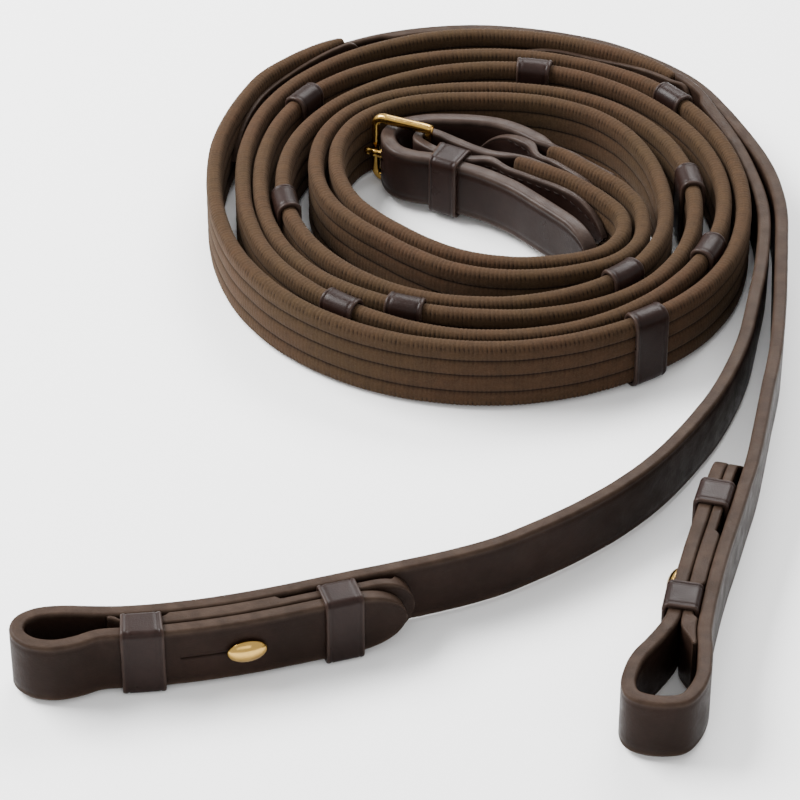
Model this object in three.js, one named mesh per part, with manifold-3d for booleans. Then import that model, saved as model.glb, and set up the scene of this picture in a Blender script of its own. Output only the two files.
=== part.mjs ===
// A pair of web riding reins, coiled flat on its edge as it is stored, with the two halves buckled together.
// Millimetres, +Z up, +Y away from the bit ends. The origin is on the floor, under the middle of the pair.

import * as THREE from 'three';
import { mergeVertices } from 'three/addons/utils/BufferGeometryUtils.js';
import Module from 'manifold-3d';

const wasm = await Module();
wasm.setup();

// Driving dimensions. A strap's bottom and top are heights over the floor; near and far are offsets from the
// middle line of the strap that a piece lies beside; u, n and z are along the buckle, to its front, and up.
const COIL_CENTRE = { x: 14, y: 60.2 };
const GAP = 0.3;
const LAP_GAP = 0.45;
const WEB = { thickness: 4.2, bottom: 1.2, top: 20.2 };
const STOP = { length: 9.5, wall: 0.9, count: 5 };
const BIT_STRAP = { thickness: 3.4, bottom: 1.2, top: 17.2 };
const KEEPER = { length: 9, wall: 0.9, near: 2.9, far: 9.4 };
const RUNNER_TRAVEL = 8;
const BACKING = { near: 2.0, far: 5.4, recess: 1.2 };
const FOLD_OFFSET = 7.4;
const TONGUE = { thickness: 1.3, lap: 11, reach: 58 };
const STUD = { shank: 3.0, headLong: 9.0, headHigh: 6.0, headRise: 2.6, hole: 3.8 };
const CENTRE_STRAP = { thickness: 4.0, lap: 1.6, lapLength: 20, bottom: 2.8, top: 17.9 };
const LINING = { thickness: 3.3, lap: 25, reach: 23 };
const CHAPE = { thickness: 2.6, lap: 1.6, frontLap: 35, backLap: 9, foldRadius: 3.0 };
const BUCKLE_KEEPER = { place: 95.5, length: 8.4, wall: 1.0, front: -2.3, back: 5.6 };
const BUCKLE = {
  hinge: [-13.2, 22.8],
  bearing: 156.5,
  reach: 15.4,
  wire: 2.3,
  hingeBar: 1.1,
  bottom: 0.2,
  top: 20.4,
};
const TONGUE_HOLE = { u: [7, 16], n: [0.2, 6.4], z: [8.8, 11.8] };
const CHAPE_SLOT = { u: [-3.3, 6.5], n: [-3.4, 6], z: [8.6, 12] };
const PIN = { thickness: 2.2, ringOuter: 2.6, ringInner: 1.4, overhang: 1.2 };
const STRAP_STEP = 6;
const WEB_STEP = 5.5;

const LEATHER = { color: 0x43302a, roughness: 0.5, metalness: 0 };
const GLOSSY_LEATHER = { color: 0x3c2a26, roughness: 0.32, metalness: 0 };
const COTTON_WEB = { color: 0x4a3527, roughness: 0.9, metalness: 0 };
const BRASS = { color: 0xc9a650, roughness: 0.22, metalness: 1 };

// Routes in plan, measured from the coil's centre. Each half runs from the folded bit end into the coil.
// The radii are those of the web's middle at every 45 degrees, from firstBearing inward.
const LEFT = {
  name: 'left',
  foldSide: -1,
  tailLength: 78,
  places: {
    backing: 116,
    loopKeeper: 123.5,
    stud: 145.5,
    runner: 168,
    tip: 186,
    webStart: 434,
    webEnd: 1431,
  },
  stops: { first: 667, spacing: 110.4 },
  loop: [
    [-88.5, -177.8], [-93.2, -180], [-98.5, -181.3], [-103.6, -180.2], [-106.6, -176.9], [-106.3, -173.2],
    [-103, -170.6],
  ],
  strap: [
    [-97.7, -169.6], [-90.9, -169.7], [-84.1, -169.7], [-77.4, -169.1], [-70.6, -168.1], [-61.7, -166.3],
    [-52.6, -163.9], [-43.6, -161.1], [-32.3, -157.5], [-20.9, -153.9], [-9.4, -150], [2.2, -145],
    [11.6, -139.2], [21.1, -132.4], [30.9, -124], [40.9, -113], [51.5, -96.8], [57.2, -86],
    [63.8, -68.5], [69.1, -45.2], [71.6, -32.1], [73.7, -11.8], [73, 0], [68.55, 22.2],
    [62.8, 36.2], [58.3, 45.6],
  ],
  firstBearing: 45,
  radii: [
    74.3, 74.2, 69.5, 62.1, 64.5, 67.4, 66.7, 63.5,
    60, 56, 54, 51.6, 52, 53.4, 54.7, 47.5,
    45.7, 41.7, 44.3, 36.1, 30, 34.5, 43.7,
  ],
  lead: [
    [34.7, -26.5], [36.7, -21.4], [36.3, -14.4], [32.7, -8.4], [28.1, -3.1], [22.7, 1.7],
    [17.1, 5.5], [11.9, 9], [6.5, 12.2], [2.2, 14],
  ],
};
const RIGHT = {
  name: 'right',
  foldSide: 1,
  tailLength: 74,
  places: {
    backing: 124,
    loopKeeper: 138.5,
    stud: 151.5,
    runner: 176.5,
    tip: 194,
    webStart: 469,
    webEnd: 1475,
  },
  stops: { first: 705, spacing: 114.4 },
  loop: [
    [38.3, -175.6], [35.4, -180], [32.3, -184.4], [30.4, -188.8], [29.3, -194],
    [30.2, -197.4], [33, -199.1], [37.5, -199.7], [41.5, -198.9], [44.1, -195.7], [46.1, -190.8],
  ],
  strap: [
    [47, -183.5], [47.3, -176], [48.5, -169.3], [50.1, -161.8], [52, -154], [54, -146.5], [56.1, -139],
    [58.2, -131.5], [60.3, -124], [62.4, -116.5], [64.3, -108.5], [65.9, -100.5], [68.2, -88.9],
    [72, -70.6], [74.8, -49.5], [77, -27.6], [78.3, -9.5], [77.2, 5.4], [75.1, 14.6], [72.2, 23.5],
    [66.3, 38.3], [61.5, 48], [55.6, 55.6], [44.2, 65.5], [30.9, 72.9], [0, 79.3], [-29.6, 73.2],
  ],
  firstBearing: 135,
  radii: [
    77.9, 69.7, 71, 72.1, 73, 68.5, 66.4, 63.7,
    62, 57.5, 59, 59.2, 61.4, 55.3, 51.7, 46.5,
    48.9, 42, 35.5, 40.5, 48.7,
  ],
  lead: [
    [39.5, -28.4], [41.5, -22.6], [41.9, -17.5], [41.2, -10.6], [38.8, -5.3], [36, -1.1],
    [31.3, 3.6], [27, 7.9], [21.7, 13.4], [18.2, 15.8], [14.5, 20.8], [9.9, 25], [5.4, 27.8], [-2.7, 30.2],
  ],
};

// The buckle strap's way through the buckle and the keeper to its point.
const BUCKLE_STRAP_TURN = [
  [-10.1, 32.4], [-17, 31.3], [-21.6, 28.9], [-23.9, 25.2], [-23.6, 20.8], [-21.4, 16.9], [-17.3, 14.6],
  [-12.2, 13.3], [-8.5, 11.3], [-4.8, 9.3], [0.8, 6.3], [5.5, 3], [10.2, -1.2], [15.2, -6.9], [20.8, -13.3],
  [24.3, -17.8], [27.5, -22.4], [29, -25],
];
// The chape's plies before and behind the keeper.
const CHAPE_FRONT = [[-2.9, 12.6], [-6.8, 14.7], [-11.4, 16.95]];
const CHAPE_BACK = [[-5.9, 21.1], [-0.4, 17.1]];

// Curves and places along them.
const curveThrough = (points) => {
  const corners = points.map(([x, y]) => new THREE.Vector3(x, y, 0));
  const curve = new THREE.CatmullRomCurve3(corners, false, 'centripetal');
  curve.arcLengthDivisions = 4000;
  return curve;
};

const pointBeside = (curve, distance, offset = 0) => {
  const share = THREE.MathUtils.clamp(distance / curve.getLength(), 0, 1);
  const point = curve.getPointAt(share);
  const tangent = curve.getTangentAt(share);
  return [point.x - tangent.y * offset, point.y + tangent.x * offset];
};

// The coil's middle line: the radius is a smooth function of the bearing.
const coilPoints = ({ radii, firstBearing }) => {
  const spline = new THREE.SplineCurve(radii.map((radius, index) => new THREE.Vector2(index, radius)));
  const points = [];
  const perTable = 3;
  const last = radii.length - 1;
  for (let step = 0; step <= last * perTable; step += 1) {
    const place = spline.getPoint(step / (last * perTable));
    const bearing = THREE.MathUtils.degToRad(firstBearing + 45 * place.x);
    points.push([place.y * Math.cos(bearing), place.y * Math.sin(bearing)]);
  }
  return points;
};

// A half's whole route, from the tip of the folded tail to the middle of the coil.
const wholeRoute = (half) => {
  const main = curveThrough(half.strap);
  const tail = [];
  for (let distance = half.tailLength; distance > 8; distance -= 7) {
    tail.push(pointBeside(main, distance, half.foldSide * FOLD_OFFSET));
  }
  return curveThrough([...tail, ...half.loop, ...half.strap, ...coilPoints(half), ...half.lead]);
};

// Solids.
const toSolid = (geometry) => {
  const bare = geometry.clone();
  bare.deleteAttribute('normal');
  bare.deleteAttribute('uv');
  const merged = mergeVertices(bare, 1e-4);
  return new wasm.Manifold(new wasm.Mesh({
    numProp: 3,
    vertProperties: new Float32Array(merged.attributes.position.array),
    triVerts: new Uint32Array(merged.index.array),
  }));
};

const toGeometry = (solid) => {
  const mesh = solid.getMesh();
  const geometry = new THREE.BufferGeometry();
  geometry.setAttribute('position', new THREE.BufferAttribute(new Float32Array(mesh.vertProperties), 3));
  geometry.setIndex(new THREE.BufferAttribute(new Uint32Array(mesh.triVerts), 1));
  geometry.computeVertexNormals();
  return geometry;
};

const evenly = (from, to, step) => {
  const places = [];
  for (let distance = from; distance <= to; distance += step) places.push(distance);
  return places;
};

const valueAt = (value, distance) => (typeof value === 'function' ? value(distance) : value);

// A flat strap standing on its edge: left and right are the offsets of its two faces from the route.
const strap = ({ route, from, to, left, right, bottom, top, step = STRAP_STEP, breaks = [] }) => {
  const count = Math.max(1, Math.ceil((to - from) / step));
  const places = breaks.filter((distance) => distance > from && distance < to);
  for (let index = 0; index <= count; index += 1) {
    const distance = from + ((to - from) * index) / count;
    if (places.every((other) => Math.abs(other - distance) > 0.8)) places.push(distance);
  }
  places.sort((a, b) => a - b);
  const leftSide = [];
  const rightSide = [];
  for (const distance of places) {
    leftSide.push(new THREE.Vector2(...pointBeside(route, distance, valueAt(left, distance))));
    rightSide.push(new THREE.Vector2(...pointBeside(route, distance, valueAt(right, distance))));
  }
  const outline = new THREE.Shape([...rightSide, ...leftSide.reverse()]);
  const geometry = new THREE.ExtrudeGeometry(outline, { depth: top - bottom, bevelEnabled: false });
  geometry.translate(0, 0, bottom);
  return toSolid(geometry);
};

// A loop of leather around a strap: left and right are its inner faces.
const sleeve = ({ route, middle, length, left, right, bottom, top, wall }) => {
  const from = middle - length / 2;
  const to = middle + length / 2;
  const outer = strap({
    route,
    from,
    to,
    left: left + wall,
    right: right - wall,
    bottom: bottom - wall,
    top: top + wall,
    step: 3.2,
  });
  const inner = strap({
    route, from: from - 3.2, to: to + 3.2, left, right, bottom, top, step: 3.2,
  });
  return outer.subtract(inner);
};

// The frame of a place on a route: x along it (back from a tip when turned), y up, z across.
const placeOn = (route, distance, turned = false) => {
  const share = distance / route.getLength();
  const tangent = route.getTangentAt(share).multiplyScalar(turned ? -1 : 1);
  const up = new THREE.Vector3(0, 0, 1);
  const across = new THREE.Vector3().crossVectors(tangent, up);
  const matrix = new THREE.Matrix4().makeBasis(tangent, up, across);
  return matrix.setPosition(route.getPointAt(share));
};

// What is cut away to bring a strap to a rounded point; x runs back from the tip into the strap.
const pointCutter = ({ matrix, length, bottom, top, blunt, across }) => {
  const middle = (bottom + top) / 2;
  const outline = new THREE.Shape();
  outline.moveTo(-4, bottom - 1);
  outline.lineTo(length, bottom - 1);
  outline.lineTo(length, bottom);
  outline.quadraticCurveTo(length * blunt, bottom, 0, middle);
  outline.quadraticCurveTo(length * blunt, top, length, top);
  outline.lineTo(length, top + 1);
  outline.lineTo(-4, top + 1);
  outline.closePath();
  const geometry = new THREE.ExtrudeGeometry(outline, {
    depth: across,
    bevelEnabled: false,
    curveSegments: 5,
  });
  geometry.translate(0, 0, -across / 2);
  geometry.applyMatrix4(matrix);
  return toSolid(geometry);
};

// A round bar across a strap, z being the height of its middle.
const crossBar = ({ matrix, radius, from, to, height, sides = 16, stretch = 1 }) => {
  const geometry = new THREE.CylinderGeometry(radius, radius, to - from, sides);
  geometry.rotateX(Math.PI / 2);
  geometry.scale(stretch, 1, 1);
  geometry.translate(0, height, (from + to) / 2);
  geometry.applyMatrix4(matrix);
  return toSolid(geometry);
};

const reins = new THREE.Group();
const coil = new THREE.Group();
coil.position.set(COIL_CENTRE.x, COIL_CENTRE.y, 0);
reins.add(coil);

const addPiece = (name, solid, finish) => {
  const mesh = new THREE.Mesh(toGeometry(solid), new THREE.MeshStandardMaterial(finish));
  mesh.name = name;
  coil.add(mesh);
};

// A value that goes from one to another between two distances, and stays there.
const ramp = (distance, from, to, low, high) => {
  const share = THREE.MathUtils.clamp((distance - from) / (to - from), 0, 1);
  return low + (high - low) * share;
};

// The two faces of something on the fold's side of a strap, given how far they lie from its middle line.
const onFoldSide = ({ foldSide }, near, far) => {
  const inner = (distance) => foldSide * valueAt(near, distance);
  const outer = (distance) => foldSide * valueAt(far, distance);
  return foldSide > 0 ? { left: outer, right: inner } : { left: inner, right: outer };
};

// The same for a bar that runs across a place on the route.
const onFoldBar = ({ foldSide }, near, far) => (
  foldSide < 0 ? { from: near, to: far } : { from: -far, to: -near });

// The strap that takes the bit: its tail is folded back round the loop and hangs on the stud.
const bitStrap = (half, route) => {
  const end = half.places.webStart;
  const skiveFrom = end - TONGUE.lap - 4;
  const skiveTo = end - TONGUE.lap;
  const face = BIT_STRAP.thickness / 2;
  const body = strap({
    route,
    from: 0,
    to: end,
    left: (distance) => ramp(distance, skiveFrom, skiveTo, face, GAP),
    right: -face,
    ...BIT_STRAP,
    breaks: [skiveFrom, skiveTo],
  });
  const tip = pointCutter({
    matrix: placeOn(route, 0.01), length: 14, blunt: 0.12, across: 6, ...BIT_STRAP,
  });
  const hole = crossBar({
    matrix: placeOn(route, half.places.stud),
    radius: STUD.hole / 2,
    height: (BIT_STRAP.bottom + BIT_STRAP.top) / 2,
    ...onFoldBar(half, BACKING.far + 0.1, FOLD_OFFSET + BIT_STRAP.thickness),
  });
  return body.subtract(tip).subtract(hole);
};

// The second layer sewn to the strap beside the fold, thinner where a keeper passes behind it.
const backing = (half, route) => {
  const { places } = half;
  const fixed = [places.loopKeeper, KEEPER.length / 2 + 0.5];
  const sliding = [places.runner, KEEPER.length / 2 + RUNNER_TRAVEL + 0.6];
  const zones = [fixed, sliding];
  const near = (distance) => {
    const depths = zones.map(([middle, reach]) => (
      ramp(Math.abs(distance - middle), reach, reach + 1, BACKING.recess, 0)));
    return BACKING.near + Math.max(...depths);
  };
  const skive = BACKING.near + 1.2;
  const far = (distance) => ramp(distance, places.backing, places.backing + 6, skive, BACKING.far);
  const breaks = [places.backing + 6];
  for (const [middle, reach] of zones) {
    breaks.push(middle - reach - 1, middle - reach, middle + reach, middle + reach + 1);
  }
  const body = strap({
    route,
    from: places.backing,
    to: places.tip,
    ...onFoldSide(half, near, far),
    ...BIT_STRAP,
    breaks,
  });
  const hole = crossBar({
    matrix: placeOn(route, places.stud),
    radius: STUD.hole / 2,
    height: (BIT_STRAP.bottom + BIT_STRAP.top) / 2,
    ...onFoldBar(half, BACKING.near - 0.2, BACKING.far + 0.2),
  });
  return body.subtract(hole);
};

// The hook stud: an oval domed head on a shank that passes through the folded tail and the backing.
const hookStud = (half, route) => {
  const matrix = placeOn(route, half.places.stud);
  const height = (BIT_STRAP.bottom + BIT_STRAP.top) / 2;
  const seat = FOLD_OFFSET + BIT_STRAP.thickness / 2 + GAP;
  const shank = crossBar({
    matrix, radius: STUD.shank / 2, height, ...onFoldBar(half, BACKING.near, seat + 0.5),
  });
  const radius = STUD.headHigh / 2;
  const profile = [
    [0, 0], [radius, 0], [radius, 0.7], [radius * 0.86, 1.6], [radius * 0.5, 2.3], [0, STUD.headRise],
  ];
  const dome = new THREE.LatheGeometry(profile.map(([x, y]) => new THREE.Vector2(x, y)), 20);
  dome.rotateX(half.foldSide < 0 ? Math.PI / 2 : -Math.PI / 2);
  dome.scale(STUD.headLong / STUD.headHigh, 1, 1);
  dome.translate(0, height, -half.foldSide * seat);
  dome.applyMatrix4(matrix);
  return shank.add(toSolid(dome));
};

// A keeper round the backing and the tail, its back wall between the backing and the strap.
const keeper = (half, route, middle) => sleeve({
  route,
  middle,
  length: KEEPER.length,
  left: half.foldSide > 0 ? KEEPER.far : -KEEPER.near,
  right: half.foldSide > 0 ? KEEPER.near : -KEEPER.far,
  bottom: BIT_STRAP.bottom - GAP,
  top: BIT_STRAP.top + GAP,
  wall: KEEPER.wall,
});

const web = (half, route) => strap({
  route,
  from: half.places.webStart + GAP,
  to: half.places.webEnd,
  left: WEB.thickness / 2,
  right: -WEB.thickness / 2,
  bottom: WEB.bottom,
  top: WEB.top,
  step: WEB_STEP,
  breaks: evenly(half.places.webEnd - 70, half.places.webEnd - 1, 2.5),
});

// The pointed tongue that is sewn to the strap's thinned end and to the inner face of the web.
const webTongue = (half, route) => {
  const start = half.places.webStart;
  const onWeb = WEB.thickness / 2 + GAP;
  const near = (distance) => ramp(distance, start - 6, start - 0.5, 2 * GAP, onWeb);
  const end = start + TONGUE.reach;
  const body = strap({
    route,
    from: start - TONGUE.lap + 0.5,
    to: end,
    left: (distance) => near(distance) + TONGUE.thickness,
    right: near,
    ...BIT_STRAP,
    breaks: [start - 6, start - 0.5],
  });
  const tip = pointCutter({
    matrix: placeOn(route, end, true), length: 24, blunt: 0.35, across: 12, ...BIT_STRAP,
  });
  return body.subtract(tip);
};

const handStop = (route, middle) => sleeve({
  route,
  middle,
  length: STOP.length,
  left: WEB.thickness / 2 + GAP,
  right: -WEB.thickness / 2 - GAP,
  bottom: WEB.bottom - GAP,
  top: WEB.top + GAP,
  wall: STOP.wall,
});

const routes = { left: wholeRoute(LEFT), right: wholeRoute(RIGHT) };

for (const half of [LEFT, RIGHT]) {
  const route = routes[half.name];
  const name = (piece) => `${half.name}_${piece}`;
  addPiece(name('bit_strap'), bitStrap(half, route), LEATHER);
  addPiece(name('bit_backing'), backing(half, route), LEATHER);
  addPiece(name('hook_stud'), hookStud(half, route), BRASS);
  addPiece(name('loop_keeper'), keeper(half, route, half.places.loopKeeper), LEATHER);
  addPiece(name('runner_keeper'), keeper(half, route, half.places.runner), LEATHER);
  addPiece(name('web'), web(half, route), COTTON_WEB);
  addPiece(name('web_tongue'), webTongue(half, route), LEATHER);
  for (let index = 0; index < STOP.count; index += 1) {
    const place = half.stops.first + index * half.stops.spacing;
    addPiece(name(`hand_stop_${index + 1}`), handStop(route, place), GLOSSY_LEATHER);
  }
}

// The buckle strap: from a thin lap on the right web's outer face, back through the buckle, to its point.
const buckleStrapRoute = () => {
  const route = routes.right;
  const end = RIGHT.places.webEnd;
  const lapOffset = -(WEB.thickness / 2 + LAP_GAP + CENTRE_STRAP.lap / 2);
  const points = [];
  for (let back = CENTRE_STRAP.lapLength; back >= 0; back -= 5) {
    points.push(pointBeside(route, end - back, lapOffset));
  }
  for (const onward of [7, 14, 21]) {
    points.push(pointBeside(route, end + onward, -CENTRE_STRAP.thickness / 2 - GAP));
  }
  return curveThrough([...points, ...BUCKLE_STRAP_TURN]);
};

const buckleStrap = (route) => {
  const lap = CENTRE_STRAP.lapLength;
  const half = (distance) => (
    ramp(distance, lap + 0.5, lap + 7, CENTRE_STRAP.lap / 2, CENTRE_STRAP.thickness / 2));
  const body = strap({
    route,
    from: 0,
    to: route.getLength(),
    left: half,
    right: (distance) => -half(distance),
    ...CENTRE_STRAP,
    step: 3.6,
    breaks: [lap + 0.5, lap + 7],
  });
  const tip = pointCutter({
    matrix: placeOn(route, route.getLength() - 0.01, true),
    length: 12,
    blunt: 0.15,
    across: 6,
    ...CENTRE_STRAP,
  });
  return body.subtract(tip).subtract(buckleBox(TONGUE_HOLE));
};

// The lining sewn to the inner side of the web's end and of the buckle strap, pointed at both ends.
const buckleStrapLining = () => {
  const route = routes.right;
  const end = RIGHT.places.webEnd;
  const from = end - LINING.lap;
  const to = end + LINING.reach;
  const near = (distance) => ramp(distance, end, end + 6, WEB.thickness / 2 + GAP, GAP);
  const thickness = (distance) => ramp(distance, end, end + 6, CENTRE_STRAP.lap, LINING.thickness);
  const body = strap({
    route,
    from,
    to,
    left: (distance) => near(distance) + thickness(distance),
    right: near,
    ...CENTRE_STRAP,
    step: 4,
    breaks: [end, end + 6],
  });
  const webTip = pointCutter({
    matrix: placeOn(route, from), length: 14, blunt: 0.3, across: 12, ...CENTRE_STRAP,
  });
  const strapTip = pointCutter({
    matrix: placeOn(route, to - 0.01, true), length: 9, blunt: 0.3, across: 12, ...CENTRE_STRAP,
  });
  return body.subtract(webTip).subtract(strapTip);
};

// A box given along the buckle's length (u, from the hinge), across it (n, to the front) and up.
const buckleMatrix = () => {
  const bearing = THREE.MathUtils.degToRad(BUCKLE.bearing);
  const along = new THREE.Vector3(Math.cos(bearing), Math.sin(bearing), 0);
  const up = new THREE.Vector3(0, 0, 1);
  const front = new THREE.Vector3().crossVectors(up, along);
  const matrix = new THREE.Matrix4().makeBasis(along, front, up);
  return matrix.setPosition(BUCKLE.hinge[0], BUCKLE.hinge[1], 0);
};

const buckleBox = ({ u, n, z }) => {
  const geometry = new THREE.BoxGeometry(u[1] - u[0], n[1] - n[0], z[1] - z[0]);
  geometry.translate((u[0] + u[1]) / 2, (n[0] + n[1]) / 2, (z[0] + z[1]) / 2);
  geometry.applyMatrix4(buckleMatrix());
  return toSolid(geometry);
};

// The chape: folded round the buckle's hinge bar, its two plies holding the end of the left web.
const chapeRoute = () => {
  const route = routes.left;
  const end = LEFT.places.webEnd;
  const lapOffset = WEB.thickness / 2 + LAP_GAP + CHAPE.lap / 2;
  const points = [];
  for (let back = CHAPE.frontLap; back >= 0; back -= 5) {
    points.push(pointBeside(route, end - back, lapOffset));
  }
  points.push(pointBeside(route, end + 7, CHAPE.thickness / 2 + GAP / 2));
  points.push(...CHAPE_FRONT);
  const [hx, hy] = BUCKLE.hinge;
  const radius = CHAPE.foldRadius;
  for (const degrees of [228, 200, 172, 144, 116, 88, 54]) {
    const angle = THREE.MathUtils.degToRad(degrees);
    points.push([hx + radius * Math.cos(angle), hy + radius * Math.sin(angle)]);
  }
  points.push(...CHAPE_BACK);
  points.push(pointBeside(route, end + 7, -CHAPE.thickness / 2 - GAP / 2));
  for (const back of [0, CHAPE.backLap]) points.push(pointBeside(route, end - back, -lapOffset));
  return curveThrough(points);
};

const chape = () => {
  const route = chapeRoute();
  const length = route.getLength();
  const thicken = (distance, lap) => (
    ramp(distance, lap + 0.5, lap + 6, CHAPE.lap / 2, CHAPE.thickness / 2));
  const half = (distance) => (
    Math.min(thicken(distance, CHAPE.frontLap), thicken(length - distance, CHAPE.backLap)));
  const body = strap({
    route, from: 0, to: length, left: half, right: (distance) => -half(distance), ...CENTRE_STRAP, step: 2.6,
  });
  const tip = pointCutter({
    matrix: placeOn(route, 0.01), length: 16, blunt: 0.3, across: 6, ...CENTRE_STRAP,
  });
  return body.subtract(tip).subtract(buckleBox(CHAPE_SLOT));
};

// The buckle's frame: three flat sides and a round hinge bar.
const buckleFrame = () => {
  const { reach, wire, hingeBar: radius, bottom, top } = BUCKLE;
  const outline = new THREE.Shape();
  const out = reach + wire / 2;
  const inside = reach - wire / 2;
  outline.moveTo(-wire / 2, bottom);
  outline.lineTo(out - 1.2, bottom);
  outline.lineTo(out, bottom + 1.2);
  outline.lineTo(out, top - 1.2);
  outline.lineTo(out - 1.2, top);
  outline.lineTo(-wire / 2, top);
  outline.lineTo(-wire / 2, top - wire);
  outline.lineTo(inside, top - wire);
  outline.lineTo(inside, bottom + wire);
  outline.lineTo(-wire / 2, bottom + wire);
  outline.closePath();
  const sides = new THREE.ExtrudeGeometry(outline, { depth: wire, bevelEnabled: false });
  sides.translate(0, 0, -wire / 2);
  sides.rotateX(Math.PI / 2);
  sides.applyMatrix4(buckleMatrix());
  const hinge = new THREE.CylinderGeometry(radius, radius, top - bottom - 2, 16);
  hinge.rotateX(Math.PI / 2);
  hinge.translate(0, 0, (top + bottom) / 2);
  hinge.applyMatrix4(buckleMatrix());
  return toSolid(sides).add(toSolid(hinge));
};

// The tongue: a ring round the hinge bar and an arm that rests on the front of the frame's outer side.
const buckleTongue = () => {
  const low = (BUCKLE.bottom + BUCKLE.top - PIN.thickness) / 2;
  const high = low + PIN.thickness;
  const { ringInner, ringOuter } = PIN;
  const corners = [[ringInner, low], [ringOuter, low], [ringOuter, high], [ringInner, high], [ringInner, low]];
  const ring = new THREE.LatheGeometry(corners.map(([x, y]) => new THREE.Vector2(x, y)), 20);
  ring.rotateX(Math.PI / 2);
  ring.applyMatrix4(buckleMatrix());
  const tip = BUCKLE.reach + BUCKLE.wire / 2 + PIN.overhang;
  const rest = BUCKLE.wire / 2 + GAP;
  const arm = new THREE.Shape();
  arm.moveTo(0, PIN.ringInner + 0.1);
  arm.lineTo(tip, rest);
  arm.lineTo(tip, rest + PIN.thickness - 0.5);
  arm.lineTo(tip - 0.8, rest + PIN.thickness);
  arm.lineTo(0, PIN.ringOuter);
  arm.closePath();
  const shaft = new THREE.ExtrudeGeometry(arm, { depth: PIN.thickness, bevelEnabled: false });
  shaft.translate(0, 0, low);
  shaft.applyMatrix4(buckleMatrix());
  return toSolid(ring).add(toSolid(shaft));
};

const strapRoute = buckleStrapRoute();
addPiece('buckle_strap', buckleStrap(strapRoute), LEATHER);
addPiece('buckle_strap_lining', buckleStrapLining(), LEATHER);
addPiece('buckle_chape', chape(), LEATHER);
addPiece('buckle_frame', buckleFrame(), BRASS);
addPiece('buckle_tongue', buckleTongue(), BRASS);
addPiece('buckle_keeper', sleeve({
  route: strapRoute,
  middle: BUCKLE_KEEPER.place,
  length: BUCKLE_KEEPER.length,
  left: BUCKLE_KEEPER.back,
  right: BUCKLE_KEEPER.front,
  bottom: CENTRE_STRAP.bottom - GAP,
  top: CENTRE_STRAP.top + GAP,
  wall: BUCKLE_KEEPER.wall,
}), GLOSSY_LEATHER);

export default reins;
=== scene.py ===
import math

import bmesh
import bpy
import numpy as np
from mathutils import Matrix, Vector


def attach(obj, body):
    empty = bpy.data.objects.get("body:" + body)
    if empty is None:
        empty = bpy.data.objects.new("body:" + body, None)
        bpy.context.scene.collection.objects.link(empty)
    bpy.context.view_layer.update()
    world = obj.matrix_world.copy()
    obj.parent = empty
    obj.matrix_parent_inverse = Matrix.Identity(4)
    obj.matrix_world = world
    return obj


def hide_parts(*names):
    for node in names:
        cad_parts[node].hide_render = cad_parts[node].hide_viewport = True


# A pair of web reins, coiled on edge. Their lengths are in millimetres, which MM turns into metres.
# The camera, the materials, the floor and the lights use metres.
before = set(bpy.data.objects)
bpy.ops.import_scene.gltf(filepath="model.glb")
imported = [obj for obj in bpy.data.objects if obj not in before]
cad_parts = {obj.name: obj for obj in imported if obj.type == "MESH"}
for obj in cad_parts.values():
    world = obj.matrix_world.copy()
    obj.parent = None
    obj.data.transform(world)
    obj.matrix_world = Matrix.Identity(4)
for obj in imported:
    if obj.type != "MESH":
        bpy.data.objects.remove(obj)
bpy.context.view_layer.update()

MM = 0.001
UV_PER_MM = 0.01
CENTRE = np.array([14.0, 60.2])

CAMERA_AIM = (-0.0069, -0.0097)
CAMERA_DISTANCE = 0.9
CAMERA_TILT = math.radians(37.5)
CAMERA_LENS = 162.0


# ---------------------------------------------------------------- camera
def make_camera():
    data = bpy.data.cameras.new("camera")
    data.sensor_width = 36.0
    data.lens = CAMERA_LENS
    data.clip_start = 0.05
    data.dof.use_dof = False
    camera = bpy.data.objects.new("camera", data)
    bpy.context.scene.collection.objects.link(camera)
    back, up = CAMERA_DISTANCE * math.cos(CAMERA_TILT), CAMERA_DISTANCE * math.sin(CAMERA_TILT)
    camera.location = (CAMERA_AIM[0], CAMERA_AIM[1] - back, up)
    camera.rotation_euler = (math.pi / 2 - CAMERA_TILT, 0.0, 0.0)
    bpy.context.scene.camera = camera


make_camera()


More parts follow.
